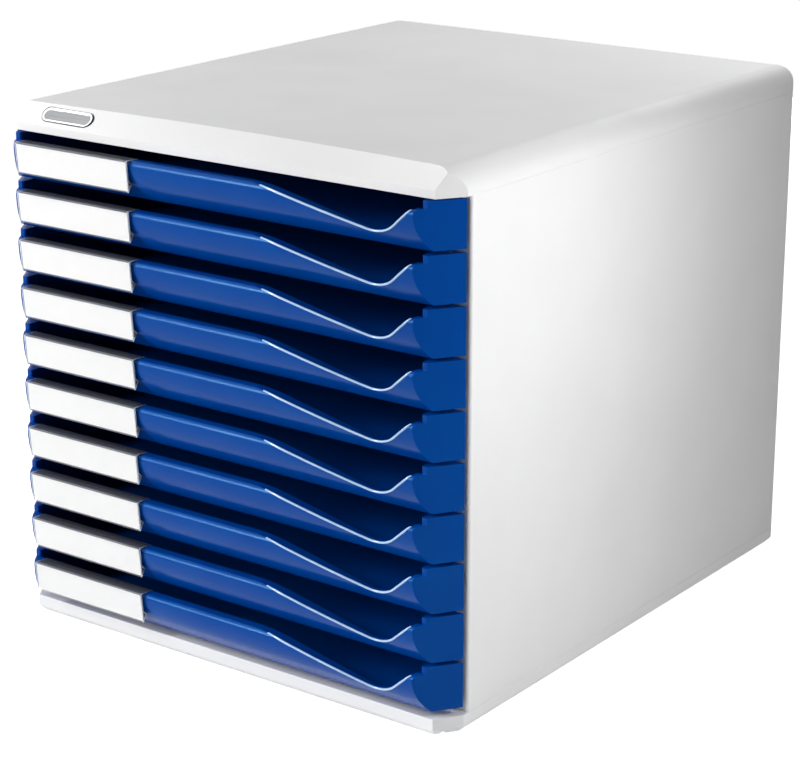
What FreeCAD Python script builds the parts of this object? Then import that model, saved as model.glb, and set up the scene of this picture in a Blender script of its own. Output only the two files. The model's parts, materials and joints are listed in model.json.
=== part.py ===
import FreeCAD, Part
import math
import os
import re
import Sketcher

# Ten-drawer desktop file cabinet, in millimetres.
# Row frame: X to the right, Y to the rear, Z up; the origin is at the middle of the footprint, on
# the floor. The housing (lid, base, side panels, back panel) is snapped together from mouldings.
# Each drawer is a tray that slides on a pair of runners and carries a clip-on label strip.

SIZES = (
    ("overall_width", 291.0, "housing, side to side"),
    ("overall_depth", 352.0, "foremost label face to the rear"),
    ("drawer_count", 10, "trays, one above the other"),
    ("drawer_pitch", 26.25, "one tray to the next"),
    ("stack_allowance", 3.0, "side panel height beyond the trays' pitches"),
    ("base_rise", 11.0, "floor to the base's top"),
    ("foot_stand", 1.0, "feet stand out below the base"),
    ("lid_height", 14.5, "lid's lower edge to its top"),
    ("front_reach", 11.3, "foremost label face ahead of the lid's front face"),
    ("corner_width", 9.3, "cut front corner, along X"),
    ("corner_depth", 13.7, "cut front corner, along Y"),
    ("rear_round", 4.0, "upright rear edges"),
    ("skin", 2.5, "side panel wall"),
    ("panel_setback", 17.2, "side panel's front edge behind the lid's front face"),
    ("flange_width", 12.3, "side panel's front return, from the outside"),
    ("flange_thick", 2.0, "side panel's returns, front and rear"),
    ("rear_flange_width", 9.0, "side panel's rear return, from the outside"),
    ("runner_reach", 19.0, "runner's inner edge, from the outside"),
    ("runner_thick", 1.8, "runner"),
    ("tongue_height", 6.0, "side panel's snap tongue"),
    ("tongue_thick", 1.4, "side panel's snap tongue"),
    ("tongue_inset", 15.0, "tongue's ends behind the panel's edges"),
    ("seat_gap", 0.1, "clearance round a tongue, badge or panel edge"),
    ("back_thick", 2.5, "back panel"),
    ("back_rim", 12.0, "plain rim round the back panel's field"),
    ("back_recess", 0.8, "depth of the back panel's field"),
    ("lid_lip", 4.2, "upright band along the lid's front"),
    ("lip_hollow", 3.2, "depth of the hollow behind that band"),
    ("crease_mid", 13.1, "lid's slope, front to crease, at the middle"),
    ("crease_end", 6.4, "lid's slope, front to crease, at the sides"),
    ("lid_side_round", 13.0, "lid's long top edges"),
    ("lid_rear_round", 3.0, "lid's rear top edge"),
    ("lid_wall", 2.5, "lid's top and rear walls"),
    ("side_wall", 7.5, "lid's and base's side walls, which hold the tongues"),
    ("badge_length", 35.0, "badge plate"),
    ("badge_width", 9.0, "badge plate"),
    ("badge_thick", 1.0, "badge plate"),
    ("badge_seat", 0.6, "depth of the badge's seat in the slope"),
    ("badge_in", 42.5, "badge's middle, in from the lid's left side"),
    ("badge_up", 7.2, "badge's middle, up the slope from the lip"),
    ("base_band", 6.5, "upright band round the base"),
    ("base_wall", 6.0, "base's front and rear walls"),
    ("base_top", 2.5, "base's top plate"),
    ("foot_radius", 7.0, "rubber foot"),
    ("foot_thick", 3.0, "rubber foot"),
    ("foot_in_x", 24.0, "foot's middle, from the side"),
    ("foot_in_y", 28.0, "foot's middle, from the base's front and rear"),
    ("boss_wall", 2.5, "wall round a foot"),
    ("first_front_rise", 4.2, "lowest front above the base's top"),
    ("wing_inset", 0.5, "drawer front's end, from the housing's side"),
    ("front_height", 24.3, "drawer front's end posts"),
    ("ledge_height", 20.6, "drawer front between its posts"),
    ("front_bulge", 8.8, "drawer front's top edge ahead of its bottom edge"),
    ("front_radius", 26.0, "drawer front's curve"),
    ("front_skin", 2.0, "drawer front's wall"),
    ("front_edge_round", 2.6, "drawer front's top edge"),
    ("ledge_depth", 6.3, "ledge along the drawer front's top"),
    ("post_round", 1.2, "post's front corner"),
    ("wing_wall", 2.0, "wall round the hollow behind a front corner"),
    ("tray_gap", 0.7, "tray's side to the side panel's front return"),
    ("tray_wall", 1.8, "tray's side and rear walls"),
    ("tray_floor", 1.6, "tray's floor"),
    ("tray_rise", 1.0, "tray's underside above the front's bottom edge"),
    ("tray_wall_top", 23.9, "tray's walls above the front's bottom edge"),
    ("rear_gap", 2.0, "tray's rear to the back panel"),
    ("running_gap", 0.3, "tray above its runners, and a lug at its stop"),
    ("travel", 270.0, "tray, from shut to its stop"),
    ("lug_reach", 8.0, "stop lug, out from the tray's side"),
    ("lug_thick", 5.0, "stop lug, along Y"),
    ("lug_height", 14.0, "stop lug"),
    ("lug_rise", 4.0, "stop lug above the front's bottom edge"),
    ("grip_start_in", 119.0, "finger cut-out's start, in from the front's right end"),
    ("grip_brow", 105.0, "finger cut-out's long upper curve"),
    ("grip_low_in", 40.2, "finger cut-out's lowest point, in from the front's right end"),
    ("grip_low_rise", 6.9, "finger cut-out's lowest point above the bottom edge"),
    ("grip_bowl", 20.0, "finger cut-out's bowl radius"),
    ("grip_peak", 4.0, "finger cut-out's peak radius"),
    ("grip_end_in", 15.5, "finger cut-out's end, in from the front's right end"),
    ("label_in", 18.5, "label strip's left end, in from the front's left end"),
    ("label_length", 78.2, "label strip"),
    ("label_low", 4.4, "label strip's lower edge above the front's bottom edge"),
    ("label_lean", 1.4, "label strip's top ahead of its bottom"),
    ("label_drop", 0.3, "label face's top above the ledge"),
    ("lens_thick", 0.5, "label strip's front wall"),
    ("card_slot", 0.35, "slot for the card"),
    ("card_thick", 0.25, "card"),
    ("card_inset", 0.6, "card's edges inside the slot, and its ends inside the strip"),
    ("clip_wall", 0.7, "label strip's hooks"),
    ("clip_gap", 0.1, "label strip's hooks off the drawer front"),
    ("hook_top", 11.0, "label strip's lower hook starts here"),
    ("hook_mid", 8.4, "label strip's lower hook touches the front here"),
)
ALIASES = {alias for alias, value, note in SIZES}

# Places worked out from the sizes, as formulas for the expression engine.
HALF = "overall_width / 2"
LID_FRONT = "(front_reach - overall_depth / 2)"
REAR = "(overall_depth / 2)"
PANEL_HEIGHT = "(drawer_count * drawer_pitch + stack_allowance)"
SEAM_TOP = "(base_rise + %s)" % PANEL_HEIGHT
PANEL_FRONT = "(%s + panel_setback)" % LID_FRONT
PANEL_INSIDE = "(%s - skin)" % HALF
BACK_FRONT = "(%s - flange_thick - seat_gap - back_thick)" % REAR
TRAY_HALF = "(%s - flange_width - tray_gap)" % HALF
TRAY_INSIDE = "(%s - tray_wall)" % TRAY_HALF
TRAY_REAR = "(%s - rear_gap - %s)" % (BACK_FRONT, LID_FRONT)
CORNER_SLOPE = "(corner_width / corner_depth)"
WING_END = "(%s - wing_inset)" % HALF
POST_FRONT = "(ledge_depth - front_bulge)"
LABEL_LEFT = "(label_in - %s)" % WING_END
GRIP_START = "(%s - grip_start_in)" % WING_END
GRIP_LOW = "(%s - grip_low_in)" % WING_END
GRIP_END = "(%s - grip_end_in)" % WING_END
BADGE_MIDDLE = "(badge_in - %s)" % HALF
FLOOR_TOP = "(tray_rise + tray_floor)"
LID_RUN = "(lid_height - lid_lip)"

# How far a cut runs past the face that it opens, so that it leaves no skin there.
PAST = "1"

ROUND_END = "round end"

doc = FreeCAD.newDocument("file_cabinet")


def make_sheet():
    """The driving sizes, one to a row: alias, number, what it measures."""
    sheet = doc.addObject("Spreadsheet::Sheet", "dims")
    for row, (alias, value, note) in enumerate(SIZES, start=1):
        sheet.set("A%d" % row, alias)
        sheet.set("B%d" % row, str(value))
        sheet.set("C%d" % row, note)
        sheet.setAlias("B%d" % row, alias)
    doc.recompute()
    return sheet


dims = make_sheet()


def formula(text):
    """A formula with each alias written as the expression engine wants it."""
    return re.sub(r"[a-z_]+", lambda word: word.group() if word.group() not in ALIASES
                  else "dims." + word.group(), str(text))


def number(text):
    """What a formula comes to now."""
    return float(dims.evalExpression(formula(text)))


def bind(thing, **formulas):
    """Bind properties to formulas; a double underscore stands for a dot."""
    for name, text in formulas.items():
        thing.setExpression(name.replace("__", "."), formula(text))


def new_body(name):
    body = doc.addObject("PartDesign::Body", name)
    body.Label = name
    return body


def origin_item(body, role):
    return next(item for item in body.Origin.OriginFeatures if item.Role == role)


def new_sketch(body, name, plane, offset="0"):
    """An empty sketch on one of the body's own planes, moved along the plane's normal."""
    sketch = body.newObject("Sketcher::SketchObject", name)
    sketch.AttachmentSupport = (origin_item(body, plane), [""])
    sketch.MapMode = "FlatFace"
    bind(sketch, AttachmentOffset__Base__z=offset)
    return sketch


def pin_way(sketch, kind, edge, end, text):
    """Hold one end of an edge at a distance from the sketch's origin, along one of its axes."""
    index = sketch.addConstraint(Sketcher.Constraint(kind, -1, 1, edge, end, number(text)))
    sketch.setExpression("Constraints[%d]" % index, formula(text))


def pin_point(sketch, edge, end, x, y):
    """Hold one end of an edge at a place given by two formulas."""
    pin_way(sketch, "DistanceX", edge, end, x)
    pin_way(sketch, "DistanceY", edge, end, y)


def pin_radius(sketch, edge, radius):
    index = sketch.addConstraint(Sketcher.Constraint("Radius", edge, number(radius)))
    sketch.setExpression("Constraints[%d]" % index, formula(radius))


def arc_middle(start, end, radius):
    """Middle of the short arc from start to end. It bulges right, or left if radius is negative."""
    chord = end - start
    sagitta = abs(radius) - math.sqrt(max(radius ** 2 - chord.Length ** 2 / 4, 0))
    side = FreeCAD.Vector(chord.y, -chord.x, 0).normalize()
    return (start + end) / 2 + side * math.copysign(sagitta, radius)


def sketch_arc(start, middle, end):
    """An arc through three points, drawn anticlockwise, as a sketch needs it."""
    anticlockwise = (middle - start).cross(end - middle).z > 0
    return Part.Arc(start, middle, end) if anticlockwise else Part.Arc(end, middle, start)


def add_loop(sketch, corners):
    """A closed outline. A corner is (x, y), or (x, y, radius) where an arc leads to the next one.

    An arc marked ROUND_END is a half circle: it is tangent to the edge before it."""
    first = sketch.GeometryCount
    count = len(corners)
    places = [FreeCAD.Vector(number(corner[0]), number(corner[1]), 0) for corner in corners]
    for index, corner in enumerate(corners):
        start = places[index]
        end = places[(index + 1) % count]
        if len(corner) > 2:
            middle = arc_middle(start, end, number(corner[2]))
            sketch.addGeometry(sketch_arc(start, middle, end), False)
        else:
            sketch.addGeometry(Part.LineSegment(start, end), False)
    ends = []
    for index in range(count):
        edge = sketch.Geometry[first + index]
        forward = (edge.StartPoint - places[index]).Length < 1e-6
        ends.append((1, 2) if forward else (2, 1))
    for index, corner in enumerate(corners):
        before = (index - 1) % count
        joint = "Tangent" if ROUND_END in corner else "Coincident"
        sketch.addConstraint(Sketcher.Constraint(
            joint, first + before, ends[before][1], first + index, ends[index][0]))
        pin_point(sketch, first + index, ends[index][0], corner[0], corner[1])
        if len(corner) == 3:
            pin_radius(sketch, first + index, "abs(%s)" % corner[2])


def outline(body, name, plane, loops, offset="0"):
    """A sketch of closed outlines."""
    sketch = new_sketch(body, name, plane, offset)
    for corners in loops:
        add_loop(sketch, corners)
    return sketch


def rectangle(left, front, right, rear):
    return ((left, front), (right, front), (right, rear), (left, rear))


def extrude(body, kind, name, sketch, length=None, against=False, both=False, through=False):
    """A pad or pocket of a sketch."""
    feature = body.newObject("PartDesign::" + kind, name)
    feature.Profile = sketch
    feature.Reversed = against
    if both:
        feature.SideType = "Symmetric"
    if through:
        feature.Type = "ThroughAll"
    else:
        bind(feature, Length=length)
    return feature


def pad(body, name, plane, loops, length, offset="0", **ways):
    return extrude(body, "Pad", name, outline(body, name + "_outline", plane, loops, offset),
                   length, **ways)


def pocket(body, name, plane, loops, length=None, offset="0", **ways):
    return extrude(body, "Pocket", name, outline(body, name + "_outline", plane, loops, offset),
                   length, **ways)


def mirrored(corners):
    """The same corners on the other side of the middle."""
    return tuple(("-(%s)" % corner[0], corner[1]) + tuple("-(%s)" % arc for arc in corner[2:])
                 for corner in corners)


# ---------------------------------------------------------------- housing

def make_side_panel(name, side):
    """Side wall with front and rear returns, a runner for each tray and two snap tongues.

    side is 1 for the right and -1 for the left."""
    body = new_body(name)

    def x_at(text):
        return "%d * (%s)" % (side, text)

    outer = x_at(HALF)
    inner = x_at(PANEL_INSIDE)
    flange = x_at("%s - flange_width" % HALF)
    rear_flange = x_at("%s - rear_flange_width" % HALF)
    wall = (
        (outer, PANEL_FRONT),
        (outer, "%s - rear_round" % REAR, "%d * rear_round" % side),
        (x_at("%s - rear_round" % HALF), REAR),
        (rear_flange, REAR),
        (rear_flange, "%s - flange_thick" % REAR),
        (inner, "%s - flange_thick" % REAR),
        (inner, "%s + flange_thick" % PANEL_FRONT),
        (flange, "%s + flange_thick" % PANEL_FRONT),
        (flange, PANEL_FRONT),
    )
    pad(body, name + "_wall", "XY_Plane", (wall,), PANEL_HEIGHT, "base_rise")

    runner = rectangle(x_at("%s - runner_reach" % HALF), PANEL_FRONT,
                       x_at("%s + skin / 2" % PANEL_INSIDE), BACK_FRONT)
    first = "base_rise + first_front_rise + tray_rise - running_gap - runner_thick"
    rung = pad(body, name + "_runner", "XY_Plane", (runner,), "runner_thick", first)
    ladder = body.newObject("PartDesign::LinearPattern", name + "_runners")
    ladder.Originals = [rung]
    ladder.Direction = (origin_item(body, "Z_Axis"), [""])
    bind(ladder, Length="(drawer_count - 1) * drawer_pitch", Occurrences="drawer_count")
    body.Tip = ladder

    tongue = rectangle(inner, "%s + tongue_inset" % PANEL_FRONT,
                       x_at("%s + tongue_thick" % PANEL_INSIDE), "%s - tongue_inset" % REAR)
    pad(body, name + "_top_tongue", "XY_Plane", (tongue,), "tongue_height", SEAM_TOP)
    pad(body, name + "_foot_tongue", "XY_Plane", (tongue,), "tongue_height", "base_rise",
        against=True)
    return body


def make_back_panel():
    """Flat panel with a shallow field, held between the rear returns and the runners' ends."""
    body = new_body("back_panel")
    half = "(%s - seat_gap)" % PANEL_INSIDE
    plate = rectangle("-%s" % half, BACK_FRONT, half, "%s + back_thick" % BACK_FRONT)
    pad(body, "back_plate", "XY_Plane", (plate,), "%s - 2 * seat_gap" % PANEL_HEIGHT,
        "base_rise + seat_gap")
    inset = "(%s - back_rim)" % half
    field = rectangle("-%s" % inset, "base_rise + back_rim", inset, "%s - back_rim" % SEAM_TOP)
    pocket(body, "back_field", "XZ_Plane", (field,), "2 * back_recess",
           "-(%s + back_thick + back_recess)" % BACK_FRONT, against=True)
    return body


def footprint(inset="0"):
    """Plan of the lid and the base: cut front corners, rounded rear corners."""
    side = "(%s - (%s))" % (HALF, inset)
    front = "(%s + (%s))" % (LID_FRONT, inset)
    rear = "(%s - (%s))" % (REAR, inset)
    cut_x = "(%s - corner_width)" % side
    cut_y = "(%s + corner_depth)" % front
    right = (
        (cut_x, front),
        (side, cut_y),
        (side, "%s - rear_round" % rear, "rear_round"),
        ("%s - rear_round" % side, rear),
    )
    left = (
        ("-(%s - rear_round)" % side, rear, "rear_round"),
        ("-%s" % side, "%s - rear_round" % rear),
        ("-%s" % side, cut_y),
        ("-%s" % cut_x, front),
    )
    return right + left


def tongue_slots():
    """Plans of the two slots that take the side panels' tongues."""
    low = "(%s - seat_gap)" % PANEL_INSIDE
    high = "(%s + tongue_thick + seat_gap)" % PANEL_INSIDE
    front = "%s + tongue_inset - seat_gap" % PANEL_FRONT
    rear = "%s - tongue_inset + seat_gap" % REAR
    return rectangle(low, front, high, rear), rectangle("-%s" % high, front, "-%s" % low, rear)


def make_top_cover():
    """Lid: sloped front band with a bowed crease, rounded long edges, hollow underneath."""
    body = new_body("top_cover")
    top = "(%s + lid_height)" % SEAM_TOP
    above = "(%s + %s)" % (top, PAST)
    pad(body, "lid_block", "XY_Plane", (footprint(),), "lid_height", SEAM_TOP)

    rounded = (
        (HALF, "%s - lid_side_round" % top, "lid_side_round"),
        ("%s - lid_side_round" % HALF, top),
        ("%s - lid_side_round" % HALF, above),
        ("%s + %s" % (HALF, PAST), above),
        ("%s + %s" % (HALF, PAST), "%s - lid_side_round" % top),
    )
    pocket(body, "lid_side_rounds", "XZ_Plane", (rounded, mirrored(rounded)), through=True,
           both=True)

    rear_edge = (
        (REAR, "%s - lid_rear_round" % top, "lid_rear_round"),
        ("%s - lid_rear_round" % REAR, top),
        ("%s - lid_rear_round" % REAR, above),
        ("%s + %s" % (REAR, PAST), above),
        ("%s + %s" % (REAR, PAST), "%s - lid_rear_round" % top),
    )
    pocket(body, "lid_rear_edge", "YZ_Plane", (rear_edge,), through=True, both=True)

    sections = []
    ahead = "(%s - %s)" % (LID_FRONT, PAST)
    for place, offset, crease in (("left", "-(%s + %s)" % (HALF, PAST), "crease_end"),
                                  ("middle", "0", "crease_mid"),
                                  ("right", "%s + %s" % (HALF, PAST), "crease_end")):
        wedge = (
            (ahead, "%s + lid_lip - %s * %s / %s" % (SEAM_TOP, PAST, LID_RUN, crease)),
            ("%s + %s * (1 + %s / %s)" % (LID_FRONT, crease, PAST, LID_RUN), above),
            (ahead, above),
        )
        sections.append(outline(body, "slope_" + place, "YZ_Plane", (wedge,), offset))
    slope = body.newObject("PartDesign::SubtractiveLoft", "lid_slope")
    slope.Profile = sections[0]
    slope.Sections = sections[1:]

    behind = "(%s + crease_mid - lid_wall / 2)" % LID_FRONT
    inside = "(%s - side_wall)" % HALF
    hollow = rectangle("-%s" % inside, behind, inside, "%s - lid_wall" % REAR)
    pocket(body, "lid_hollow", "XY_Plane", (hollow,), "lid_height - lid_wall", SEAM_TOP,
           against=True)
    lip_inside = "(%s - side_wall - corner_width)" % HALF
    strip = rectangle("-%s" % lip_inside, "%s + lid_wall" % LID_FRONT, lip_inside,
                      "%s + %s" % (behind, PAST))
    pocket(body, "lid_lip_hollow", "XY_Plane", (strip,), "lip_hollow", SEAM_TOP, against=True)
    pocket(body, "lid_slots", "XY_Plane", tongue_slots(), "tongue_height + seat_gap", SEAM_TOP,
           against=True)
    return body


def place_on_slope(sketch, lift):
    """Lay a sketch on the lid's slope with its origin at the badge's middle, lifted off the slope."""
    crease = "(crease_mid - (crease_mid - crease_end) * (%s / (%s + %s))^2)" % (
        BADGE_MIDDLE, HALF, PAST)
    tilt = "atan2(%s; %s)" % (LID_RUN, crease)
    sketch.AttachmentOffset = FreeCAD.Placement(
        FreeCAD.Vector(), FreeCAD.Rotation(FreeCAD.Vector(1, 0, 0), number(tilt)))
    bind(sketch,
         AttachmentOffset__Rotation__Angle=tilt,
         AttachmentOffset__Base__x=BADGE_MIDDLE,
         AttachmentOffset__Base__y="%s + badge_up * cos(%s) - (%s) * sin(%s)" % (
             LID_FRONT, tilt, lift, tilt),
         AttachmentOffset__Base__z="%s + lid_lip + badge_up * sin(%s) + (%s) * cos(%s)" % (
             SEAM_TOP, tilt, lift, tilt))


def stadium(length, width):
    """Outline of a bar with round ends, centred on the origin."""
    straight = "((%s) - (%s)) / 2" % (length, width)
    half = "(%s) / 2" % width
    return (
        ("-(%s)" % straight, "-(%s)" % half),
        (straight, "-(%s)" % half, half, ROUND_END),
        (straight, half),
        ("-(%s)" % straight, half, half, ROUND_END),
    )


def seat_badge(body):
    """The badge's seat, cut square to the lid's slope."""
    plan = stadium("badge_length + 2 * seat_gap", "badge_width + 2 * seat_gap")
    sketch = outline(body, "badge_seat_outline", "XY_Plane", (plan,))
    place_on_slope(sketch, "2 * badge_seat")
    return extrude(body, "Pocket", "badge_seat", sketch, "3 * badge_seat")


def make_badge_plate():
    body = new_body("badge_plate")
    sketch = outline(body, "badge_outline", "XY_Plane", (stadium("badge_length", "badge_width"),))
    place_on_slope(sketch, "-badge_seat")
    extrude(body, "Pad", "badge_bar", sketch, "badge_thick")
    return body


def add_circles(body, name, offset, radius, centres):
    """A sketch of equal circles on the body's XY plane."""
    sketch = new_sketch(body, name, "XY_Plane", offset)
    for x, y in centres:
        middle = FreeCAD.Vector(number(x), number(y), 0)
        edge = sketch.addGeometry(Part.Circle(middle, FreeCAD.Vector(0, 0, 1), number(radius)), False)
        pin_point(sketch, edge, 3, x, y)
        pin_radius(sketch, edge, radius)
    return sketch


def foot_centres():
    side = "(%s - foot_in_x)" % HALF
    front = "(%s + foot_in_y)" % LID_FRONT
    rear = "(%s - foot_in_y)" % REAR
    return ((side, front), (side, rear), ("-%s" % side, front), ("-%s" % side, rear))


def make_base_plate():
    """Base: cut front corners, a bevel underneath, hollow, with a boss for each foot."""
    body = new_body("base_plate")
    block = pad(body, "base_block", "XY_Plane", (footprint(),), "base_rise - foot_stand",
                "foot_stand")
    doc.recompute()
    lowest = number("foot_stand")
    rim = ["Edge%d" % (index + 1) for index, edge in enumerate(block.Shape.Edges)
           if edge.BoundBox.ZMax < lowest + 1e-6]
    bevel = body.newObject("PartDesign::Chamfer", "base_bevel")
    bevel.Base = (block, rim)
    bind(bevel, Size="base_rise - foot_stand - base_band")

    inside = "(%s - side_wall)" % HALF
    hollow = rectangle("-%s" % inside, "%s + base_wall" % LID_FRONT, inside,
                       "%s - base_wall" % REAR)
    pocket(body, "base_hollow", "XY_Plane", (hollow,), "base_rise - foot_stand - base_top",
           "foot_stand", against=True)
    bosses = add_circles(body, "boss_outline", "foot_stand", "foot_radius + boss_wall",
                         foot_centres())
    extrude(body, "Pad", "bosses", bosses, "base_rise - foot_stand - base_top / 2")
    sockets = add_circles(body, "socket_outline", "foot_stand", "foot_radius + seat_gap",
                          foot_centres())
    extrude(body, "Pocket", "sockets", sockets, "foot_thick - foot_stand", against=True)
    pocket(body, "base_slots", "XY_Plane", tongue_slots(), "tongue_height + seat_gap",
           "base_rise")
    return body


def make_rubber_feet():
    """Four round feet, each a separate solid, up against their sockets' ceilings."""
    feet = []
    for index, (x, y) in enumerate(foot_centres(), start=1):
        foot = doc.addObject("Part::Cylinder", "foot_%d" % index)
        bind(foot, Radius="foot_radius", Height="foot_thick", Placement__Base__x=x,
             Placement__Base__y=y)
        feet.append(foot)
    group = doc.addObject("Part::Compound", "rubber_feet")
    group.Label = "rubber_feet"
    group.Links = feet
    return group


# ---------------------------------------------------------------- drawers
# A drawer's own frame: Y from the lid's front face, Z from the front's bottom edge.

def place_drawer(body, level):
    bind(body, Placement__Base__y=LID_FRONT,
         Placement__Base__z="base_rise + first_front_rise + %d * drawer_pitch" % level)


def front_curve(z):
    """Y of the drawer front's outer face at a height: an arc from the bottom edge to the top edge."""
    rise = "(ledge_height - front_edge_round)"
    chord = "sqrt(front_bulge^2 + %s^2)" % rise
    reach = "sqrt(front_radius^2 - (front_bulge^2 + %s^2) / 4)" % rise
    middle_y = "(%s * %s / %s - front_bulge / 2)" % (rise, reach, chord)
    middle_z = "(%s / 2 + front_bulge * %s / %s)" % (rise, reach, chord)
    return "(%s - sqrt(front_radius^2 - ((%s) - %s)^2))" % (middle_y, z, middle_z)


def corner_edge(y, inset="0"):
    """X of the front's cut corner at a depth, moved square to the corner's face by an inset."""
    square = "sqrt(1 + %s^2)" % CORNER_SLOPE
    return "(%s - %s * (corner_depth - (%s)) - (%s) * %s)" % (
        WING_END, CORNER_SLOPE, y, inset, square)


def both_sides(corners):
    return corners, mirrored(corners)


def tangent_angle(first, radius, second, other_radius, turn):
    """Direction from the first circle's middle to where an inner tangent leaves it."""
    between = second - first
    lean = math.acos((radius + other_radius) / between.Length)
    return math.atan2(between.y, between.x) + turn * lean


def edge_end(sketch, place):
    """The edge that already ends at a place, and which of its ends that is."""
    for index, edge in enumerate(sketch.Geometry):
        for end, point in ((1, edge.StartPoint), (2, edge.EndPoint)):
            if (point - place).Length < 1e-6:
                return index, end
    return None


def join_lines(sketch, places):
    """Straight edges from place to place, joined to what already ends there."""
    for start, end in zip(places, places[1:]):
        joints = [edge_end(sketch, start), edge_end(sketch, end)]
        line = sketch.addGeometry(Part.LineSegment(start, end), False)
        for which, joint in enumerate(joints, start=1):
            if joint:
                sketch.addConstraint(Sketcher.Constraint("Coincident", *joint, line, which))


def add_grip_curve(sketch, drop="0"):
    """The finger cut-out's curve, moved down square to itself: a long brow, a straight fall, a
    bowl, a rise and a peak. Gives the places of its two ends."""
    circles = (
        (GRIP_START, "ledge_height - grip_brow", "grip_brow - %s" % drop),
        (GRIP_LOW, "grip_low_rise + grip_bowl", "grip_bowl + %s" % drop),
        (GRIP_END, "ledge_height - grip_peak", "grip_peak - %s" % drop),
    )
    brow, bowl, peak = [FreeCAD.Vector(number(x), number(z), 0) for x, z, radius in circles]
    brow_radius, bowl_radius, peak_radius = [number(radius) for x, z, radius in circles]
    fall = tangent_angle(brow, brow_radius, bowl, bowl_radius, 1)
    rise = tangent_angle(peak, peak_radius, bowl, bowl_radius, -1)

    def on_circle(middle, radius, angle):
        return middle + FreeCAD.Vector(radius * math.cos(angle), radius * math.sin(angle), 0)

    def arc(middle, radius, first, last):
        halfway = on_circle(middle, radius, (first + last) / 2)
        return sketch_arc(on_circle(middle, radius, first), halfway,
                          on_circle(middle, radius, last))

    upright = math.pi / 2
    left = on_circle(brow, brow_radius, upright)
    right = on_circle(peak, peak_radius, upright)
    joints = [
        on_circle(brow, brow_radius, fall),
        on_circle(bowl, bowl_radius, fall - math.pi),
        on_circle(bowl, bowl_radius, rise - math.pi),
        on_circle(peak, peak_radius, rise),
    ]
    first = sketch.GeometryCount
    for edge in (arc(brow, brow_radius, upright, fall),
                 Part.LineSegment(joints[0], joints[1]),
                 arc(bowl, bowl_radius, fall - math.pi, rise - math.pi),
                 Part.LineSegment(joints[2], joints[3]),
                 arc(peak, peak_radius, rise, upright)):
        sketch.addGeometry(edge, False)

    def end_near(index, place):
        return 1 if (sketch.Geometry[index].StartPoint - place).Length < 1e-6 else 2

    for index, place in enumerate(joints, start=first):
        sketch.addConstraint(Sketcher.Constraint(
            "Tangent", index, end_near(index, place), index + 1, end_near(index + 1, place)))
    for arc_index, (x, z, radius) in zip((first, first + 2, first + 4), circles):
        pin_point(sketch, arc_index, 3, x, z)
        pin_radius(sketch, arc_index, radius)
    pin_way(sketch, "DistanceX", first, end_near(first, left), GRIP_START)
    pin_way(sketch, "DistanceX", first + 4, end_near(first + 4, right), GRIP_END)
    return left, right


def make_grip_sketch(body, name):
    """What the finger cut-out takes away: everything above its curve."""
    sketch = new_sketch(body, name, "XZ_Plane", "-(front_skin + %s)" % PAST)
    left, right = add_grip_curve(sketch)
    above = "front_height + %s" % PAST
    corners = ((GRIP_END, above), (GRIP_START, above))
    places = [FreeCAD.Vector(number(x), number(z), 0) for x, z in corners]
    join_lines(sketch, [right, *places, left])
    for place, (x, z) in zip(places, corners):
        pin_point(sketch, *edge_end(sketch, place), x, z)
    return sketch


def make_grip_ledge_sketch(body, name):
    """The band under the finger cut-out's curve that carries the front's ledge along it."""
    sketch = new_sketch(body, name, "XZ_Plane", "-%s" % POST_FRONT)
    upper_left, upper_right = add_grip_curve(sketch)
    lower_left, lower_right = add_grip_curve(sketch, "front_skin")
    join_lines(sketch, [upper_left, lower_left])
    join_lines(sketch, [upper_right, lower_right])
    return sketch


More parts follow.
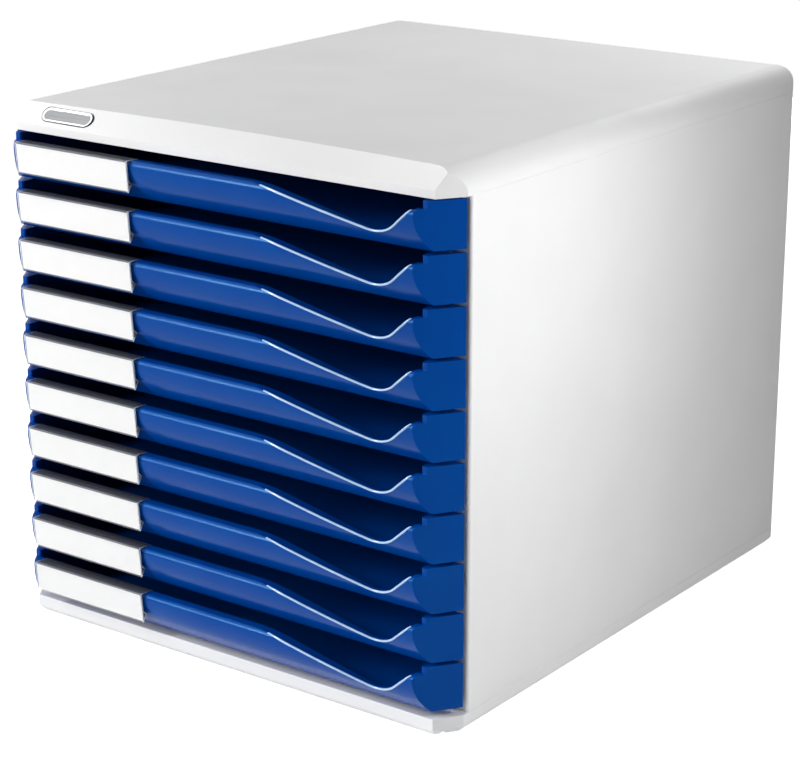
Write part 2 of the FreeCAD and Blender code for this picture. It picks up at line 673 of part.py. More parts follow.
def make_drawer(name, level):
    """A tray with a bulging front, cut corners, end posts, a finger cut-out and stop lugs."""
    body = new_body(name)
    crown = "(ledge_height - front_edge_round)"
    above = "front_height + %s" % PAST
    ahead = "-(front_bulge + %s)" % PAST
    nose = (
        ("0", "0", "-front_radius"),
        ("-front_bulge", crown, "-front_edge_round"),
        ("front_edge_round - front_bulge", "ledge_height"),
    )
    face = nose + (("corner_depth", "ledge_height"), ("corner_depth", "0"))
    pad(body, name + "_front", "YZ_Plane", (face,), "2 * %s" % WING_END, both=True)
    post = (
        (TRAY_INSIDE, "%s + post_round" % POST_FRONT, "post_round"),
        ("%s + post_round" % TRAY_INSIDE, POST_FRONT),
        (WING_END, POST_FRONT),
        (WING_END, "corner_depth"),
        (TRAY_INSIDE, "corner_depth"),
    )
    pad(body, name + "_posts", "XY_Plane", both_sides(post), "front_height - %s" % crown, crown)
    plan = rectangle("-%s" % TRAY_HALF, "front_skin", TRAY_HALF, TRAY_REAR)
    pad(body, name + "_tray", "XY_Plane", (plan,), "tray_wall_top - tray_rise", "tray_rise")
    lug_front = "(panel_setback + flange_thick + running_gap + travel)"
    lug = rectangle("%s - tray_wall / 2" % TRAY_HALF, lug_front, "%s + lug_reach" % TRAY_HALF,
                    "%s + lug_thick" % lug_front)
    pad(body, name + "_lugs", "XY_Plane", both_sides(lug), "lug_height", "lug_rise")

    under_ledge = "(ledge_height - front_skin)"
    room = (
        ("%s + front_skin" % front_curve(FLOOR_TOP), FLOOR_TOP, "-(front_radius - front_skin)"),
        ("%s + front_skin" % front_curve(under_ledge), under_ledge),
        (POST_FRONT, under_ledge),
        (POST_FRONT, above),
        ("%s - tray_wall" % TRAY_REAR, above),
        ("%s - tray_wall" % TRAY_REAR, FLOOR_TOP),
    )
    pocket(body, name + "_room", "YZ_Plane", (room,), "2 * %s" % TRAY_INSIDE, both=True)

    gusset = (
        (TRAY_INSIDE, ahead),
        (TRAY_INSIDE, "corner_depth - (%s - %s) / %s" % (
            corner_edge("corner_depth", "front_skin"), TRAY_INSIDE, CORNER_SLOPE)),
        (corner_edge(ahead, "front_skin"), ahead),
    )
    pad(body, name + "_gussets", "XY_Plane", both_sides(gusset), "ledge_height")
    extrude(body, "Pocket", name + "_grip", make_grip_sketch(body, name + "_grip_outline"),
            "front_bulge + 2 * front_skin", against=True)
    extrude(body, "Pad", name + "_grip_ledge",
            make_grip_ledge_sketch(body, name + "_grip_ledge_outline"),
            "ledge_depth + %s" % PAST)
    beyond = "%s - %s" % (ahead, PAST)
    clear = nose + (
        ("front_edge_round - front_bulge", above),
        (beyond, above),
        (beyond, "0"),
    )
    pocket(body, name + "_nose", "YZ_Plane", (clear,), "2 * %s" % WING_END, both=True)

    corner = (
        (WING_END, "corner_depth"),
        (corner_edge(ahead), ahead),
        ("%s + %s" % (WING_END, PAST), ahead),
        ("%s + %s" % (WING_END, PAST), "corner_depth"),
    )
    pocket(body, name + "_corners", "XY_Plane", both_sides(corner),
           "front_height + 2 * %s" % PAST, "-%s" % PAST, against=True)

    behind = "(corner_depth + %s)" % PAST
    relief = rectangle("-%s" % TRAY_HALF, "2 * front_skin", TRAY_HALF, behind)
    pocket(body, name + "_underside", "XY_Plane", (relief,), "tray_rise + %s" % PAST,
           "-%s" % PAST, against=True)
    hollow = (
        (TRAY_HALF, behind),
        (TRAY_HALF, "corner_depth - (%s - %s) / %s" % (
            corner_edge("corner_depth", "wing_wall"), TRAY_HALF, CORNER_SLOPE)),
        (corner_edge(behind, "wing_wall"), behind),
    )
    pocket(body, name + "_wings", "XY_Plane", both_sides(hollow), "front_height - 2 * wing_wall",
           "wing_wall", against=True)
    place_drawer(body, level)
    return body


def label_face(z, behind="0"):
    """Y of the label strip's leaning face at a height, or of a surface behind it."""
    fall = "(ledge_height + label_drop - (%s))" % z
    height = "(ledge_height + label_drop - label_low)"
    return "(label_lean * %s / %s - front_reach + %s)" % (fall, height, behind)


STRIP_THICK = "(2 * lens_thick + card_slot)"
SLOT_LOW = "(label_low + lens_thick)"
SLOT_HIGH = "(ledge_height + label_drop - lens_thick)"


def make_label_holder(name, level):
    """Clear strip: a slot for the card, a lip over the front's ledge and a hollow lower hook."""
    body = new_body(name)
    lip_low = "(ledge_height + clip_gap)"
    lip_high = "(ledge_height + clip_gap + clip_wall)"
    catch_front = "(%s + clip_gap)" % POST_FRONT
    catch_low = "(ledge_height - front_skin - clip_wall)"
    hook_y = "(%s - clip_gap)" % front_curve("hook_mid")
    section = (
        (label_face("label_low"), "label_low"),
        ("-front_reach", "ledge_height + label_drop"),
        ("clip_wall - front_reach", lip_high),
        ("%s + clip_wall" % catch_front, lip_high),
        ("%s + clip_wall" % catch_front, catch_low),
        (catch_front, catch_low),
        (catch_front, lip_low),
        (label_face(lip_low, STRIP_THICK), lip_low),
        (label_face("hook_top", STRIP_THICK), "hook_top"),
        (hook_y, "hook_mid"),
        (label_face("label_low", "clip_wall"), "label_low"),
    )
    hollow = (
        (label_face("hook_top - 2 * clip_wall", STRIP_THICK), "hook_top - 2 * clip_wall"),
        ("%s - 1.5 * clip_wall" % hook_y, "hook_mid"),
        (label_face("label_low + 3 * clip_wall", STRIP_THICK), "label_low + 3 * clip_wall"),
    )
    slot = (
        (label_face(SLOT_LOW, "lens_thick"), SLOT_LOW),
        (label_face(SLOT_HIGH, "lens_thick"), SLOT_HIGH),
        (label_face(SLOT_HIGH, "lens_thick + card_slot"), SLOT_HIGH),
        (label_face(SLOT_LOW, "lens_thick + card_slot"), SLOT_LOW),
    )
    pad(body, name + "_strip", "YZ_Plane", (section, hollow, slot), "label_length", LABEL_LEFT)
    place_drawer(body, level)
    return body


def make_label_card(name, level):
    body = new_body(name)
    front = "(lens_thick + (card_slot - card_thick) / 2)"
    low = "(%s + card_inset / 4)" % SLOT_LOW
    high = "(%s - card_inset / 4)" % SLOT_HIGH
    card = (
        (label_face(low, front), low),
        (label_face(high, front), high),
        (label_face(high, front + " + card_thick"), high),
        (label_face(low, front + " + card_thick"), low),
    )
    pad(body, name + "_sheet", "YZ_Plane", (card,), "label_length - 2 * card_inset",
        "card_inset + %s" % LABEL_LEFT)
    place_drawer(body, level)
    return body


# ---------------------------------------------------------------- assembly

def build():
    """Every sub-part, in the order it is put together."""
    cover = make_top_cover()
    seat_badge(cover)
    parts = [
        make_base_plate(),
        make_rubber_feet(),
        make_side_panel("left_side_panel", -1),
        make_side_panel("right_side_panel", 1),
        make_back_panel(),
        cover,
        make_badge_plate(),
    ]
    count = int(number("drawer_count"))
    for index in range(1, count + 1):
        level = count - index
        parts.append(make_drawer("drawer_%02d" % index, level))
        parts.append(make_label_holder("label_holder_%02d" % index, level))
        parts.append(make_label_card("label_card_%02d" % index, level))
    return parts


def check(parts):
    """Stop before anything is written if an object failed or a shape isn't sound."""
    for item in doc.Objects:
        if "Invalid" in item.State or "Error" in item.State:
            raise RuntimeError("%s failed: %s" % (item.Name, item.State))
    for part in parts:
        if part.Shape.isNull() or not part.Shape.isValid():
            raise RuntimeError("%s has no sound shape" % part.Label)


parts = build()
doc.recompute()
check(parts)
os.makedirs("parts", exist_ok=True)
for part in parts:
    part.Shape.exportStep(os.path.join("parts", part.Label + ".step"))
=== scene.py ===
import json
import math

import bmesh
import bpy
from mathutils import Euler, Matrix, Vector

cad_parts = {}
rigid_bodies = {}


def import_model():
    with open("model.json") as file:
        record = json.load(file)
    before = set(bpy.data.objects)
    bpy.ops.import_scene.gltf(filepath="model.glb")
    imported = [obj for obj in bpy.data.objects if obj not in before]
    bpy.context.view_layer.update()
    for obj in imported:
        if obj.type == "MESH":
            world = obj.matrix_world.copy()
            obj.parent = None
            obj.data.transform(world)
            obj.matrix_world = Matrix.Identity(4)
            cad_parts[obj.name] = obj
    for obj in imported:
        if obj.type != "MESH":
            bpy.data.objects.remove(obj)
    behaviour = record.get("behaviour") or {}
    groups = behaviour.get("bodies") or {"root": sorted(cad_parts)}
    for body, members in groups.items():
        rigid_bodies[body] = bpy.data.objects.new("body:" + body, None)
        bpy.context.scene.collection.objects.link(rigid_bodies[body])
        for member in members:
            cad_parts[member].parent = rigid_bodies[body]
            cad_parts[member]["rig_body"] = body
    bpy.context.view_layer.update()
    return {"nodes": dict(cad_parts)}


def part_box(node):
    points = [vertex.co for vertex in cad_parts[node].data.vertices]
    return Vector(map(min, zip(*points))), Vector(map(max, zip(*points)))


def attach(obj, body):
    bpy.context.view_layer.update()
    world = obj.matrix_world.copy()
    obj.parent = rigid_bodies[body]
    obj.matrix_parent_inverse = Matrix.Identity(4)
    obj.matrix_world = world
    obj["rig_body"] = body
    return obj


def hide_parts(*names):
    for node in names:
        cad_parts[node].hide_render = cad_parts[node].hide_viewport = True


# Desktop file cabinet with ten drawers. Metres; X to the right, Y to the rear, Z up.

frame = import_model()

MM = 0.001
NUMBERS = ["%02d" % number for number in range(1, 11)]


# ---------------------------------------------------------------- camera

CAMERA_PLACE = Vector((0.7694, -1.0502, 0.5335))
CAMERA_PAN = math.radians(36.42)
CAMERA_TILT = math.radians(17.56)
CAMERA_LENS = 108.03


def place_camera():
    data = bpy.data.cameras.new("camera")
    data.lens = CAMERA_LENS
    data.sensor_width = 36
    data.sensor_fit = "HORIZONTAL"
    data.clip_start = 0.05
    data.clip_end = 50
    camera = bpy.data.objects.new("camera", data)
    camera.location = CAMERA_PLACE
    camera.rotation_euler = Euler((math.radians(90) - CAMERA_TILT, 0, CAMERA_PAN))
    bpy.context.scene.collection.objects.link(camera)
    bpy.context.scene.camera = camera


# ---------------------------------------------------------------- materials

def new_material(name, colour, roughness):
    """A material with its shader, and the node tree to add to."""
    material = bpy.data.materials.new(name)
    material.use_nodes = True
    tree = material.node_tree
    shader = tree.nodes["Principled BSDF"]
    shader.inputs["Base Color"].default_value = (*colour, 1)
    shader.inputs["Roughness"].default_value = roughness
    return material, tree, shader


def object_noise(tree, feature, detail=2.0, stretch=(1, 1, 1)):
    """Noise on object coordinates with features of a given size, in metres."""
    place = tree.nodes.new("ShaderNodeTexCoord")
    mapping = tree.nodes.new("ShaderNodeMapping")
    mapping.inputs["Scale"].default_value = stretch
    noise = tree.nodes.new("ShaderNodeTexNoise")
    noise.inputs["Scale"].default_value = 1 / feature
    noise.inputs["Detail"].default_value = detail
    tree.links.new(place.outputs["Object"], mapping.inputs["Vector"])
    tree.links.new(mapping.outputs["Vector"], noise.inputs["Vector"])
    return noise.outputs["Fac"]


def add_grain(tree, shader, feature, depth, strength=0.6):
    """Fine moulding grain, as bump."""
    bump = tree.nodes.new("ShaderNodeBump")
    bump.inputs["Strength"].default_value = strength
    bump.inputs["Distance"].default_value = depth
    tree.links.new(object_noise(tree, feature), bump.inputs["Height"])
    tree.links.new(bump.outputs["Normal"], shader.inputs["Normal"])


def add_mottle(tree, shader, dark, light, feature, detail=3.0, stretch=(1, 1, 1)):
    """A slight change of colour over the surface, between two close tones."""
    ramp = tree.nodes.new("ShaderNodeValToRGB")
    ramp.color_ramp.elements[0].position = 0.3
    ramp.color_ramp.elements[0].color = (*dark, 1)
    ramp.color_ramp.elements[1].position = 0.7
    ramp.color_ramp.elements[1].color = (*light, 1)
    tree.links.new(object_noise(tree, feature, detail, stretch), ramp.inputs["Fac"])
    tree.links.new(ramp.outputs["Color"], shader.inputs["Base Color"])


def add_sheen_spread(tree, shader, smooth, rough, feature):
    """Roughness that drifts between two values, as on plastic that has been handled."""
    spread = tree.nodes.new("ShaderNodeMapRange")
    spread.inputs["From Min"].default_value = 0.3
    spread.inputs["From Max"].default_value = 0.7
    spread.inputs["To Min"].default_value = smooth
    spread.inputs["To Max"].default_value = rough
    tree.links.new(object_noise(tree, feature), spread.inputs["Value"])
    tree.links.new(spread.outputs["Result"], shader.inputs["Roughness"])


def housing_plastic():
    """Pale grey polystyrene with a fine, even texture."""
    pale = (0.80, 0.80, 0.805)
    material, tree, shader = new_material("housing_plastic", pale, 0.5)
    shader.inputs["Specular IOR Level"].default_value = 0.4
    add_mottle(tree, shader, (0.785, 0.785, 0.79), (0.815, 0.815, 0.82), 60 * MM)
    add_sheen_spread(tree, shader, 0.44, 0.54, 25 * MM)
    add_grain(tree, shader, 0.45 * MM, 0.03 * MM)
    return material


def drawer_plastic():
    """Deep blue polystyrene, smoother than the housing."""
    material, tree, shader = new_material("drawer_plastic", (0.0, 0.054, 0.305), 0.2)
    shader.inputs["Specular IOR Level"].default_value = 0.16
    shader.inputs["Specular Tint"].default_value = (0.15, 0.6, 1.0, 1)
    add_mottle(tree, shader, (0.0, 0.05, 0.295), (0.0, 0.058, 0.315), 40 * MM)
    add_sheen_spread(tree, shader, 0.18, 0.23, 18 * MM)
    add_grain(tree, shader, 0.5 * MM, 0.015 * MM)
    return material


def tray_plastic_shaded():
    """The same blue inside the trays, matt, and painted darker as shade for the little light that
    gets inside.
    """
    material, tree, shader = new_material("tray_plastic_shaded", (0.0, 0.03, 0.2), 0.6)
    shader.inputs["Specular IOR Level"].default_value = 0.15
    add_mottle(tree, shader, (0.0, 0.026, 0.18), (0.0, 0.034, 0.22), 30 * MM)
    add_grain(tree, shader, 0.5 * MM, 0.03 * MM)
    return material


def rim_highlight_plastic():
    """The drawers' blue painted pale along the cut-out, as a painted highlight line on its rounded
    rim.
    """
    material, tree, shader = new_material("rim_highlight_plastic", (0.42, 0.62, 0.92), 0.16)
    shader.inputs["Specular IOR Level"].default_value = 0.8
    add_mottle(tree, shader, (0.36, 0.56, 0.88), (0.48, 0.68, 0.95), 6 * MM)
    add_sheen_spread(tree, shader, 0.13, 0.19, 9 * MM)
    return material


def strip_plastic():
    """Clear plastic over the card."""
    material, tree, shader = new_material("strip_plastic", (0.93, 0.94, 0.95), 0.15)
    shader.inputs["Alpha"].default_value = 0.12
    shader.inputs["IOR"].default_value = 1.49
    add_grain(tree, shader, 3 * MM, 0.01 * MM, 0.3)
    return material


def strip_lip_shaded():
    """The strip's folded lip, seen along its thickness, so less clear; its dark grey is partly that
    thickness and partly painted shade from the drawer above.
    """
    material, tree, shader = new_material("strip_lip_shaded", (0.17, 0.175, 0.185), 0.2)
    shader.inputs["Alpha"].default_value = 0.8
    add_mottle(tree, shader, (0.15, 0.155, 0.165), (0.19, 0.195, 0.205), 12 * MM, 2.0, (0.1, 1, 1))
    return material


def strip_end():
    """The strip's cut end, which glows with the light led along the plastic."""
    material, tree, shader = new_material("strip_end", (0.86, 0.88, 0.9), 0.3)
    add_mottle(tree, shader, (0.8, 0.82, 0.85), (0.9, 0.92, 0.94), 1.5 * MM)
    led = tree.nodes.new("ShaderNodeBsdfTranslucent")
    led.inputs["Color"].default_value = (0.86, 0.9, 0.94, 1)
    both = tree.nodes.new("ShaderNodeMixShader")
    both.inputs["Fac"].default_value = 0.6
    tree.links.new(shader.outputs["BSDF"], both.inputs[1])
    tree.links.new(led.outputs["BSDF"], both.inputs[2])
    tree.links.new(both.outputs["Shader"], tree.nodes["Material Output"].inputs["Surface"])
    return material


def card_paper():
    """White card with a faint fibre."""
    material, tree, shader = new_material("card_paper", (0.88, 0.88, 0.87), 0.8)
    add_mottle(tree, shader, (0.86, 0.86, 0.85), (0.9, 0.9, 0.89), 1.2 * MM, 4.0, (1, 1, 0.35))
    add_grain(tree, shader, 0.25 * MM, 0.02 * MM)
    return material


def badge_metal(name, dark, light):
    """Satin silver between two tones, brushed along the badge."""
    material, tree, shader = new_material(name, light, 0.28)
    shader.inputs["Metallic"].default_value = 1.0
    add_mottle(tree, shader, dark, light, 0.3 * MM, 3.0, (0.02, 1, 1))
    return material


def foot_rubber():
    """Black rubber."""
    material, tree, shader = new_material("foot_rubber", (0.03, 0.03, 0.032), 0.75)
    add_mottle(tree, shader, (0.025, 0.025, 0.027), (0.04, 0.04, 0.042), 4 * MM)
    add_grain(tree, shader, 0.6 * MM, 0.05 * MM)
    return material


# ---------------------------------------------------------------- pieces

COPLANAR = math.radians(0.3)
SHARP = math.radians(25)
SMALL = 0.002 * MM

SHELL_EDGE = 0.5 * MM           # soft edges of the lid and the base
PANEL_EDGE = 0.35 * MM          # of the back panel
THIN_EDGE = 0.3 * MM            # of the side panels and the trays
CARD_EDGE = 0.04 * MM
SIDE_CORNER = 1.8 * MM          # side panels' outer front corner

TRAY_HALF = 131.5 * MM          # a tray's inside, from the middle to past its wall's face
TRAY_FRONT = 13 * MM            # depth of a drawer's front, back to where the tray begins

RIM_RADIUS = 0.6 * MM
RIM_SINK = 0.3 * MM
RIM_START = 20 * MM             # the cut-out's ends, from the middle
RIM_END = 129.6 * MM

STRIP_FRONT = 3 * MM            # depth of a strip's front wall
STRIP_EDGE = 0.15 * MM
STRIP_BEND = math.radians(100)  # sharper folds than this are left alone
LIP_REAR = 3.5 * MM             # the lip's rear part starts this far behind the front wall
LIP_FALL = -0.75 * MM

BADGE_EDGE = 0.4 * MM
BADGE_RIM = 0.9 * MM
BADGE_SLOPE = 0.3 * MM
BADGE_DROP = -0.35 * MM
BADGE_SOFT = 0.1 * MM

FOOT_RADIUS = 7 * MM
FOOT_CHAMFER = 0.8 * MM
FOOT_RING = 2.2 * MM            # the standing ring's inner edge, in from the foot's side
FOOT_CUP = 2.8 * MM             # the cup's edge, in from the foot's side
FOOT_CUP_DEPTH = 0.5 * MM
FOOT_EDGE = 0.15 * MM
FOOT_STEPS = 40


def merged_form(node):
    """A copy of a CAD node's mesh with its loose triangles joined into whole faces."""
    form = bmesh.new()
    form.from_mesh(frame["nodes"][node].data)
    bmesh.ops.remove_doubles(form, verts=form.verts, dist=SMALL)
    bmesh.ops.dissolve_limit(form, angle_limit=COPLANAR, verts=form.verts, edges=form.edges,
                             use_dissolve_boundaries=False, delimit={"NORMAL"})
    return form


def soften(form, width, segments=2, chosen=None):
    """Round the sharp edges, or the chosen ones."""
    if chosen is None:
        chosen = [edge for edge in form.edges
                  if edge.is_manifold and edge.calc_face_angle() > SHARP]
    bmesh.ops.bevel(form, geom=chosen, offset=width, offset_type="OFFSET", segments=segments,
                    profile=0.5, affect="EDGES", clamp_overlap=True, material=-1)


def add_piece(form, name, nodes, material):
    """A finished piece from a bmesh, riding with the nodes that it stands for."""
    mesh = bpy.data.meshes.new(name)
    form.to_mesh(mesh)
    form.free()
    mesh.materials.append(material)
    mesh.shade_smooth()
    piece = bpy.data.objects.new(name, mesh)
    bpy.context.scene.collection.objects.link(piece)
    even = piece.modifiers.new("even", "WEIGHTED_NORMAL")
    even.keep_sharp = True
    even.weight = 80
    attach(piece, frame["nodes"][nodes[0]]["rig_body"])
    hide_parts(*nodes)
    return piece


def moulded_piece(node, name, material, width, segments=2):
    """A CAD node's shape with soft edges."""
    form = merged_form(node)
    soften(form, width, segments)
    return add_piece(form, name, [node], material)


def make_side(node, name, material):
    """A side panel, its outer front corner rounded more than its other edges."""
    form = merged_form(node)
    low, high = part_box(node)
    outer = low.x if low.x < -high.x else high.x
    corner = [edge for edge in form.edges
              if all(abs(vert.co.x - outer) < SMALL and abs(vert.co.y - low.y) < SMALL
                     for vert in edge.verts)]
    soften(form, SIDE_CORNER, 4, corner)
    soften(form, THIN_EDGE)
    return add_piece(form, name, [node], material)


def make_tray(number, blue, inside):
    """A drawer: its front in smooth blue, and what lies behind its front in matt blue painted
    darker as shade.
    """
    node = "drawer_" + number
    form = merged_form(node)
    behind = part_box(node)[0].y + TRAY_FRONT
    # faces behind the front take the darker blue, painted shade for the trays' dim inside
    for face in form.faces:
        within = abs(face.calc_center_median().x) < TRAY_HALF
        face.material_index = int(within and min(vert.co.y for vert in face.verts) > behind)
    soften(form, THIN_EDGE)
    piece = add_piece(form, "tray_" + number, [node], blue)
    piece.data.materials.append(inside)
    return piece


def make_rim(number, material):
    """The rounded rim along the finger cut-out, where the front's face meets the cut; its pale
    colour is a painted highlight.
    """
    node = "drawer_" + number
    form = merged_form(node)
    rim = set()
    for edge in form.edges:
        if edge.is_manifold and edge.calc_face_angle() > SHARP:
            for face, cut in (edge.link_faces, reversed(edge.link_faces)):
                if face.normal.y < -0.5 and abs(cut.normal.y) < 0.05 and cut.normal.z > 0.3:
                    rim.update((vert.co + Vector((0, RIM_SINK, -RIM_SINK))).to_tuple()
                               for vert in edge.verts if RIM_START < vert.co.x < RIM_END)
    form.free()
    path = bpy.data.curves.new("rim_path", "CURVE")
    path.dimensions = "3D"
    path.bevel_depth = RIM_RADIUS
    path.bevel_resolution = 3
    path.use_fill_caps = True
    line = path.splines.new("POLY")
    line.points.add(len(rim) - 1)
    for point, place in zip(line.points, sorted(rim)):
        point.co = (*place, 1)
    holder = bpy.data.objects.new("rim_path", path)
    bpy.context.scene.collection.objects.link(holder)
    mesh = bpy.data.meshes.new_from_object(holder.evaluated_get(
        bpy.context.evaluated_depsgraph_get()))
    bpy.data.objects.remove(holder)
    mesh.name = "rim_" + number
    tube = bmesh.new()
    tube.from_mesh(mesh)
    bmesh.ops.remove_doubles(tube, verts=tube.verts, dist=SMALL)
    bmesh.ops.recalc_face_normals(tube, faces=tube.faces)
    tube.to_mesh(mesh)
    tube.free()
    mesh.materials.clear()
    mesh.materials.append(material)
    mesh.shade_smooth()
    piece = bpy.data.objects.new("rim_" + number, mesh)
    bpy.context.scene.collection.objects.link(piece)
    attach(piece, frame["nodes"][node]["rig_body"])
    return piece


def make_strip(number, clear, lip, cut_end):
    """The clear label strip, with a grey lip in painted shade, pale cut ends and its long front
    edges rounded.
    """
    node = "label_holder_" + number
    form = merged_form(node)
    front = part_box(node)[0].y + STRIP_FRONT
    along = [edge for edge in form.edges
             if edge.is_manifold and SHARP < edge.calc_face_angle() < STRIP_BEND
             and all(vert.co.y < front for vert in edge.verts)
             and abs(edge.verts[0].co.x - edge.verts[1].co.x) > edge.calc_length() / 2]
    soften(form, STRIP_EDGE, 2, along)
    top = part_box(node)[1].z
    behind = [vert for vert in form.verts
              if vert.co.z > top - SMALL and vert.co.y > front + LIP_REAR]
    bmesh.ops.translate(form, verts=behind, vec=(0, 0, LIP_FALL))
    for face in form.faces:
        if abs(face.normal.x) > 0.9:
            face.material_index = 2
        # upward faces take the lip's dark grey, painted shade under the drawer above
        elif face.normal.z > 0.5:
            face.material_index = 1
    piece = add_piece(form, "strip_" + number, [node], clear)
    piece.data.materials.append(lip)
    piece.data.materials.append(cut_end)
    return piece


def make_badge(bright, grey, dark):
    """The badge: a dark edge that is a painted shadow line round it, a bright raised rim and a
    lower, grey field.
    """
    form = merged_form("badge_plate")
    face = max(form.faces, key=lambda item: item.calc_area() * (item.normal.z > 0))
    # the sides and outer ring keep the near-black metal, a painted shadow line round the badge
    for item in form.faces:
        item.material_index = 2
    bmesh.ops.inset_region(form, faces=[face], thickness=BADGE_EDGE, depth=0,
                           use_even_offset=True)
    face.material_index = 0
    bmesh.ops.inset_region(form, faces=[face], thickness=BADGE_RIM, depth=0,
                           use_even_offset=True)
    bmesh.ops.inset_region(form, faces=[face], thickness=BADGE_SLOPE, depth=BADGE_DROP,
                           use_even_offset=True)
    face.material_index = 1
    soften(form, BADGE_SOFT)
    piece = add_piece(form, "badge", ["badge_plate"], bright)
    piece.data.materials.append(grey)
    piece.data.materials.append(dark)
    return piece


def make_feet(material):
    """Four turned rubber feet, each with a rounded edge and a shallow cup underneath."""
    low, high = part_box("rubber_feet")
    thick = high.z - low.z
    profile = ((0, thick), (FOOT_RADIUS, thick), (FOOT_RADIUS, FOOT_CHAMFER),
               (FOOT_RADIUS - FOOT_CHAMFER, 0), (FOOT_RADIUS - FOOT_RING, 0),
               (FOOT_RADIUS - FOOT_CUP, FOOT_CUP_DEPTH), (0, FOOT_CUP_DEPTH))
    form = bmesh.new()
    for x in (low.x + FOOT_RADIUS, high.x - FOOT_RADIUS):
        for y in (low.y + FOOT_RADIUS, high.y - FOOT_RADIUS):
            points = [form.verts.new((x + across, y, low.z + up)) for across, up in profile]
            edges = [form.edges.new(pair) for pair in zip(points, points[1:])]
            bmesh.ops.spin(form, geom=points + edges, cent=(x, y, 0), axis=(0, 0, 1),
                           angle=2 * math.pi, steps=FOOT_STEPS, use_merge=True, use_duplicate=False)
    bmesh.ops.remove_doubles(form, verts=form.verts, dist=SMALL)
    bmesh.ops.recalc_face_normals(form, faces=form.faces)
    soften(form, FOOT_EDGE)
    return add_piece(form, "feet", ["rubber_feet"], material)


def make_pieces():
    housing = housing_plastic()
    blue = drawer_plastic()
    inside = tray_plastic_shaded()
    # pale blue for the rims along the cut-outs: a painted highlight line
    rim_highlight = rim_highlight_plastic()
    clear = strip_plastic()
    lip = strip_lip_shaded()
    cut_end = strip_end()
    paper = card_paper()
    moulded_piece("top_cover", "lid", housing, SHELL_EDGE, 3)
    moulded_piece("base_plate", "base", housing, SHELL_EDGE, 3)
    make_side("left_side_panel", "left_side", housing)
    make_side("right_side_panel", "right_side", housing)
    moulded_piece("back_panel", "rear_panel", housing, PANEL_EDGE)
    # the badge's near-black edge metal is painted shade along its outline
    make_badge(badge_metal("badge_rim", (0.55, 0.56, 0.57), (0.66, 0.67, 0.68)),
               badge_metal("badge_field", (0.13, 0.132, 0.135), (0.17, 0.172, 0.175)),
               badge_metal("badge_edge_shade", (0.05, 0.05, 0.05), (0.07, 0.07, 0.07)))
    make_feet(foot_rubber())
    for number in NUMBERS:
        make_tray(number, blue, inside)
        make_rim(number, rim_highlight)
        make_strip(number, clear, lip, cut_end)
        moulded_piece("label_card_" + number, "card_" + number, paper, CARD_EDGE,
                      1)


# ---------------------------------------------------------------- stage and light

FLOOR_SIZE = 12
FLOOR_GREY = 0.8
FLOOR_GLOW = 0.94               # what the camera adds to the floor, so that it reads as white
WORLD_FILL = 0.08
WORLD_SEEN = 1.0


def seen_or_mirrored(tree):
    """1 for a ray from the camera, a mirror or clear plastic, 0 for light that falls on things."""
    path = tree.nodes.new("ShaderNodeLightPath")
    mirrored = tree.nodes.new("ShaderNodeMath")
    mirrored.operation = "MAXIMUM"
    seen = tree.nodes.new("ShaderNodeMath")
    seen.operation = "MAXIMUM"
    tree.links.new(path.outputs["Is Glossy Ray"], mirrored.inputs[0])
    tree.links.new(path.outputs["Is Transmission Ray"], mirrored.inputs[1])
    tree.links.new(path.outputs["Is Camera Ray"], seen.inputs[0])
    tree.links.new(mirrored.outputs["Value"], seen.inputs[1])
    return seen.outputs["Value"]


def make_floor():
    """Plain white floor that keeps a soft shadow."""
    form = bmesh.new()
    bmesh.ops.create_grid(form, x_segments=1, y_segments=1, size=FLOOR_SIZE)
    mesh = bpy.data.meshes.new("floor")
    form.to_mesh(mesh)
    form.free()
    material = bpy.data.materials.new("floor")
    material.use_nodes = True
    tree = material.node_tree
    tree.nodes.remove(tree.nodes["Principled BSDF"])
    output = tree.nodes["Material Output"]
    matt = tree.nodes.new("ShaderNodeBsdfDiffuse")
    matt.inputs["Color"].default_value = (FLOOR_GREY, FLOOR_GREY, FLOOR_GREY, 1)
    glow = tree.nodes.new("ShaderNodeEmission")
    glow.inputs["Strength"].default_value = FLOOR_GLOW
    none = tree.nodes.new("ShaderNodeEmission")
    none.inputs["Strength"].default_value = 0
    pick = tree.nodes.new("ShaderNodeMixShader")
    both = tree.nodes.new("ShaderNodeAddShader")
    tree.links.new(seen_or_mirrored(tree), pick.inputs["Fac"])
    tree.links.new(none.outputs["Emission"], pick.inputs[1])
    tree.links.new(glow.outputs["Emission"], pick.inputs[2])
    tree.links.new(matt.outputs["BSDF"], both.inputs[0])
    tree.links.new(pick.outputs["Shader"], both.inputs[1])
    tree.links.new(both.outputs["Shader"], output.inputs["Surface"])
    mesh.materials.append(material)
    floor = bpy.data.objects.new("floor", mesh)
    bpy.context.scene.collection.objects.link(floor)


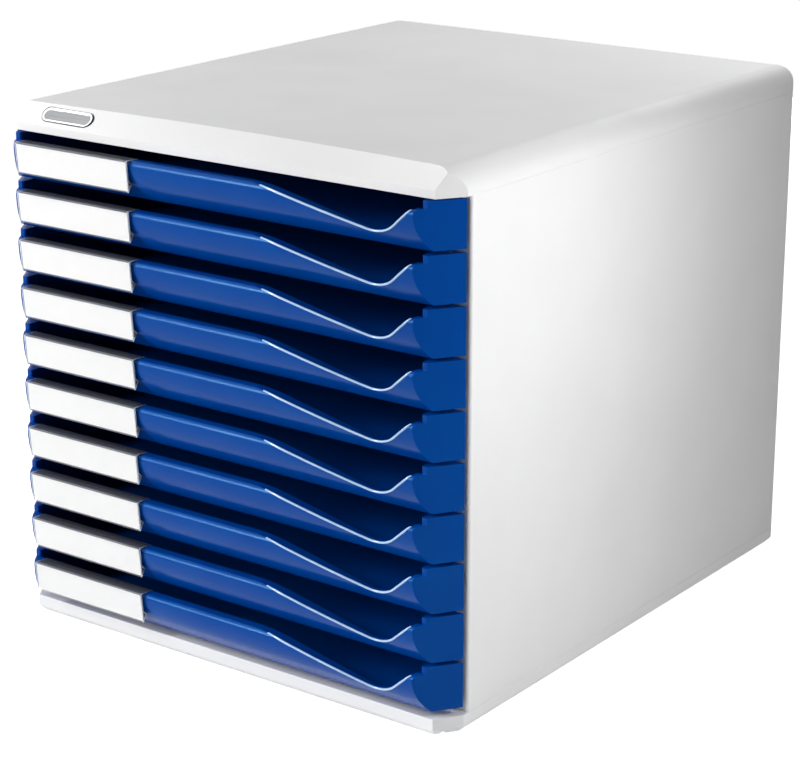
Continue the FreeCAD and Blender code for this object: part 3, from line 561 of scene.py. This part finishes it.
def make_world():
    """Even, dim light all round, seen as white."""
    world = bpy.data.worlds.new("world")
    bpy.context.scene.world = world
    world.use_nodes = True
    tree = world.node_tree
    tree.nodes.clear()
    output = tree.nodes.new("ShaderNodeOutputWorld")
    dim = tree.nodes.new("ShaderNodeBackground")
    dim.inputs["Color"].default_value = (1, 1, 1, 1)
    dim.inputs["Strength"].default_value = WORLD_FILL
    white = tree.nodes.new("ShaderNodeBackground")
    white.inputs["Color"].default_value = (1, 1, 1, 1)
    white.inputs["Strength"].default_value = WORLD_SEEN
    pick = tree.nodes.new("ShaderNodeMixShader")
    tree.links.new(seen_or_mirrored(tree), pick.inputs["Fac"])
    tree.links.new(dim.outputs["Background"], pick.inputs[1])
    tree.links.new(white.outputs["Background"], pick.inputs[2])
    tree.links.new(pick.outputs["Shader"], output.inputs["Surface"])


# Softboxes: name, place, what it looks at, the way its long side runs, side lengths, the beam's
# spread in degrees, watts.
SOFTBOXES = (
    ("left_softbox", (-1.13, -1.51, 0.9), (0, -0.17, 0.15), (0, 0.55, 0.83), (0.3, 1.3), 70, 6.8),
    ("right_softbox", (0.43, -0.09, 0.29), (0.145, -0.2, 0.2), (0, 0, 1), (0.15, 0.25), 180, 0.95),
    ("front_softbox", (0.6, -1.6, 0.5), (0.1, -0.15, 0.15), (0, 0, 1), (0.6, 0.6), 180, 0.8),
    ("rear_softbox", (0.08, 0.42, 0.6), (0.05, 0.12, 0.29), (1, 0, 0), (0.3, 0.3), 180, 1.0),
    ("top_softbox", (-0.36, -0.36, 0.6), (-0.1, -0.1, 0.29), (1, 0, 0), (0.25, 0.25), 180, 0.55),
    ("back_softbox", (-0.4, 1.5, 0.13), (0, 0.17, 0.15), (0, 0, 1), (0.7, 0.22), 180, 4.5),
)


def make_lights():
    for name, place, target, along, size, beam, power in SOFTBOXES:
        data = bpy.data.lights.new(name, "AREA")
        data.shape = "RECTANGLE"
        data.size, data.size_y = size
        data.energy = power
        data.spread = math.radians(beam)
        light = bpy.data.objects.new(name, data)
        back = (Vector(place) - Vector(target)).normalized()
        across = Vector(along).cross(back).normalized()
        turn = Matrix((across, back.cross(across), back)).transposed()
        light.rotation_euler = turn.to_euler()
        light.location = place
        light.visible_camera = False
        bpy.context.scene.collection.objects.link(light)


place_camera()
make_pieces()
make_floor()
make_world()
make_lights()
bpy.context.scene.view_settings.view_transform = "Standard"
